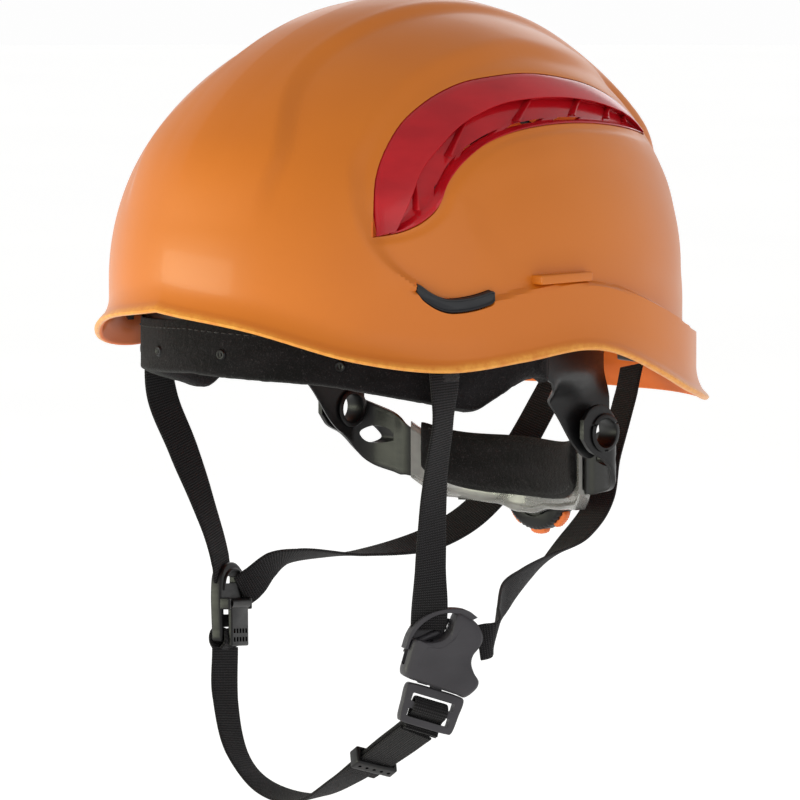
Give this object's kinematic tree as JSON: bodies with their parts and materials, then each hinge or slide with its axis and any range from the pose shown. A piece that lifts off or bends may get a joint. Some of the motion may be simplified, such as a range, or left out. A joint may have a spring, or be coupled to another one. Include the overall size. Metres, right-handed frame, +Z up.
{
  "type": "climbing helmet",
  "caption": "Vented orange work-at-height helmet with louvred side vents, inner headband, nape adjuster wheel and a strap harness with chin buckle.",
  "frame": {"origin": "centre of the head opening, level with the lowest point of the side rim", "axes": "-Y is the front of the helmet, +X is the wearer's left, +Z is up through the crown"},
  "size_m": [0.2154, 0.2855, 0.3371],
  "materials": {
    "shell_orange": "glossy injection-moulded orange",
    "vent_red": "glossy translucent red",
    "plug_rubber": "matt black rubber",
    "plate_grey": "dark flush plate",
    "black_plastic": "semi-matt black nylon",
    "buckle_grey": "fine-grained dark grey acetal",
    "webbing": "woven black polyester webbing",
    "velour": "black velour",
    "smoke_plastic": "smoke-grey translucent plastic",
    "accent_orange": "soft orange grip",
    "pin_steel": "drawn steel"
  },
  "bodies": {
    "helmet": {"shell": "shell_orange", "vent_insert_left": "vent_red", "vent_insert_right": "vent_red", "slot_plug_left": "plug_rubber", "slot_plug_right": "plug_rubber", "rear_plate": "plate_grey", "headband": "black_plastic", "sweatband": "velour", "cradle_strap_1": "webbing", "cradle_strap_2": "webbing", "cradle_strap_3": "webbing", "cradle_clip_left_1": "black_plastic", "cradle_clip_right_1": "black_plastic", "cradle_clip_left_2": "black_plastic", "cradle_clip_right_2": "black_plastic", "cradle_clip_left_3": "black_plastic", "cradle_clip_right_3": "black_plastic", "front_anchor_left": "black_plastic", "front_anchor_right": "black_plastic", "rear_anchor_left": "black_plastic", "rear_anchor_right": "black_plastic", "front_strap_left": "webbing", "front_strap_right": "webbing", "rear_strap_left": "webbing", "rear_strap_right": "webbing", "buckle_female": "buckle_grey", "divider_body": "black_plastic", "divider_pin": "pin_steel", "pivot_rivet_left": "black_plastic", "pivot_rivet_right": "black_plastic"},
    "lever": {"divider_lever": "black_plastic"},
    "chin": {"chin_strap": "webbing", "chin_strap_tail": "webbing", "strap_keeper": "black_plastic", "buckle_male": "buckle_grey"},
    "prong_rear": {"buckle_prong_rear": "buckle_grey"},
    "prong_front": {"buckle_prong_front": "buckle_grey"},
    "nape": {"nape_arm_left": "black_plastic", "nape_arm_right": "black_plastic"},
    "adjuster": {"nape_housing": "smoke_plastic", "nape_cover": "smoke_plastic", "nape_pad": "velour", "detent_ring": "black_plastic"},
    "knob": {"knob": "black_plastic", "knob_grip": "accent_orange", "pinion": "black_plastic"},
    "rack_left": {"rack_left": "black_plastic"},
    "rack_right": {"rack_right": "black_plastic"}
  },
  "joints": [
    {"name": "nape_tilt", "type": "hinge", "parent": "helmet", "child": "nape", "pos_m": [0, 0.0445, -0.035], "axis": [1, 0, 0], "range_deg": [-15, 5]},
    {"name": "nape_size", "type": "slide", "parent": "nape", "child": "adjuster", "axis": [0, -1, 0], "range_m": [0, 0.0237]},
    {"name": "knob_spin", "type": "hinge", "parent": "adjuster", "child": "knob", "pos_m": [0, 0.0879, -0.067], "axis": [0, -1, 0], "range_deg": [0, 341]},
    {"name": "rack_left_travel", "type": "hinge", "parent": "adjuster", "child": "rack_left", "pos_m": [0, 0, -0.067], "axis": [0, 0, 1], "range_deg": [0, 17.2]},
    {"name": "rack_right_travel", "type": "hinge", "parent": "adjuster", "child": "rack_right", "pos_m": [0, 0, -0.067], "axis": [0, 0, -1], "range_deg": [0, 17.2]},
    {"name": "buckle_release", "type": "hinge", "parent": "helmet", "child": "chin", "pos_m": [-0.0678, -0.0338, -0.1306], "axis": [0.0634, 0.9574, -0.2818], "range_deg": [0, 75]},
    {"name": "prong_rear_squeeze", "type": "hinge", "parent": "chin", "child": "prong_rear", "pos_m": [0.07062, -0.03869, -0.13595], "axis": [0.8632, -0.5047, 0.007], "range_deg": [0, 6], "stiffness_Nm_per_rad": 0.05},
    {"name": "prong_front_squeeze", "type": "hinge", "parent": "chin", "child": "prong_front", "pos_m": [0.06464, -0.04885, -0.13211], "axis": [-0.8632, 0.5047, -0.007], "range_deg": [0, 6], "stiffness_Nm_per_rad": 0.05},
    {"name": "divider_lever_open", "type": "hinge", "parent": "helmet", "child": "lever", "pos_m": [-0.06565, -0.0285, -0.11267], "axis": [0.3087, -0.9459, 0.0996], "range_deg": [0, 100]}
  ],
  "couplings": [
    {"joint": "knob_spin", "follows": "nape_size", "rad_per_m": 250},
    {"joint": "rack_left_travel", "follows": "nape_size", "rad_per_m": 12.5},
    {"joint": "rack_right_travel", "follows": "nape_size", "rad_per_m": 12.5},
    {"joint": "prong_front_squeeze", "follows": "prong_rear_squeeze", "ratio": 1}
  ]
}
